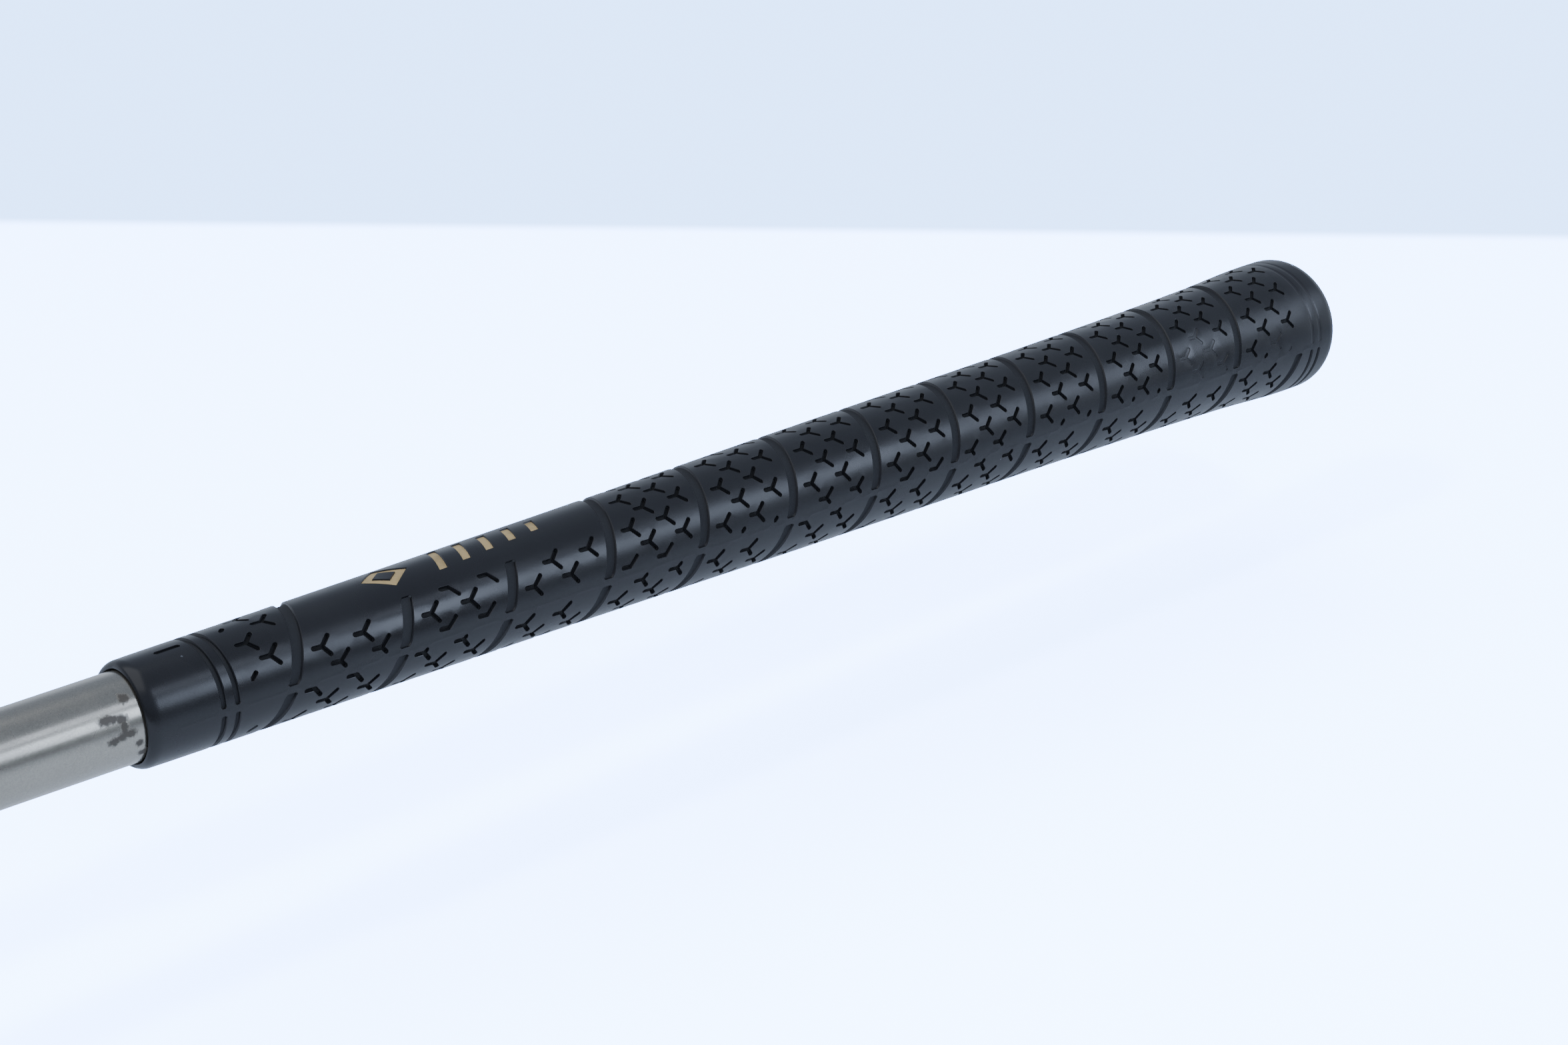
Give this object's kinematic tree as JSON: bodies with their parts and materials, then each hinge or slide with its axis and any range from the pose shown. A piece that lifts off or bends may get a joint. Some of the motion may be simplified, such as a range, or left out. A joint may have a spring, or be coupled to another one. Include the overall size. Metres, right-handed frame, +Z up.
{
  "type": "weighted swing trainer stick",
  "caption": "Golf swing trainer stick: a tapered rubber grip with a spiral groove and three-armed treads, on a champagne shaft with a weighted head whose rings come off under an end knob.",
  "frame": {"origin": "on the ground under the middle of the stick's length, centred on its width", "axes": "+X along the stick towards the grip's butt, +Z up, +Y across the stick"},
  "size_m": [0.66, 0.0256, 0.0256],
  "materials": {
    "grip_rubber": "satin moulded rubber with a fine grain",
    "shaft_paint": "champagne metallic paint under a gloss clear coat",
    "tape_paper": "double-sided grip tape",
    "plug_cork": "pressed cork",
    "ferrule_black": "turned and polished black plastic",
    "trim_steel": "polished steel",
    "adapter_dark": "dark anodised aluminium, bead blasted",
    "weight_steel": "fine turned stainless steel",
    "fastener_steel": "zinc plated steel",
    "bumper_rubber": "matt black rubber",
    "insert_brass": "machined brass"
  },
  "bodies": {
    "stick": {"grip_sleeve": "grip_rubber", "grip_tape": "tape_paper", "shaft_tube": "shaft_paint", "shaft_plug": "plug_cork", "ferrule": "ferrule_black", "trim_ring": "trim_steel", "adapter": "adapter_dark", "lock_screw_left": "fastener_steel", "lock_screw_right": "fastener_steel", "spindle": "fastener_steel", "bumper_ring": "bumper_rubber"},
    "weight_ring_1": {"weight_1": "weight_steel"},
    "weight_ring_2": {"weight_2": "weight_steel", "o_ring_1": "bumper_rubber"},
    "weight_ring_3": {"weight_3": "weight_steel", "o_ring_2": "bumper_rubber"},
    "washers": {"wave_washer": "fastener_steel", "flat_washer": "fastener_steel"},
    "knob": {"end_knob": "adapter_dark", "knob_insert": "insert_brass", "nose_pad": "bumper_rubber"}
  },
  "joints": [
    {"name": "knob_slide", "type": "slide", "parent": "stick", "child": "knob", "axis": [-1, 0, 0], "range_m": [0, 0.092]},
    {"name": "washers_slide", "type": "slide", "parent": "stick", "child": "washers", "axis": [-1, 0, 0], "range_m": [0, 0.0861]},
    {"name": "weight_3_slide", "type": "slide", "parent": "stick", "child": "weight_ring_3", "axis": [-1, 0, 0], "range_m": [0, 0.0811]},
    {"name": "weight_2_slide", "type": "slide", "parent": "stick", "child": "weight_ring_2", "axis": [-1, 0, 0], "range_m": [0, 0.0761]},
    {"name": "weight_1_slide", "type": "slide", "parent": "stick", "child": "weight_ring_1", "axis": [-1, 0, 0], "range_m": [0, 0.0711]}
  ],
  "couplings": [
    {"joint": "washers_slide", "follows": "knob_slide", "ratio": 0.9348},
    {"joint": "weight_3_slide", "follows": "knob_slide", "ratio": 0.8804},
    {"joint": "weight_2_slide", "follows": "knob_slide", "ratio": 0.8261},
    {"joint": "weight_1_slide", "follows": "knob_slide", "ratio": 0.7717}
  ]
}
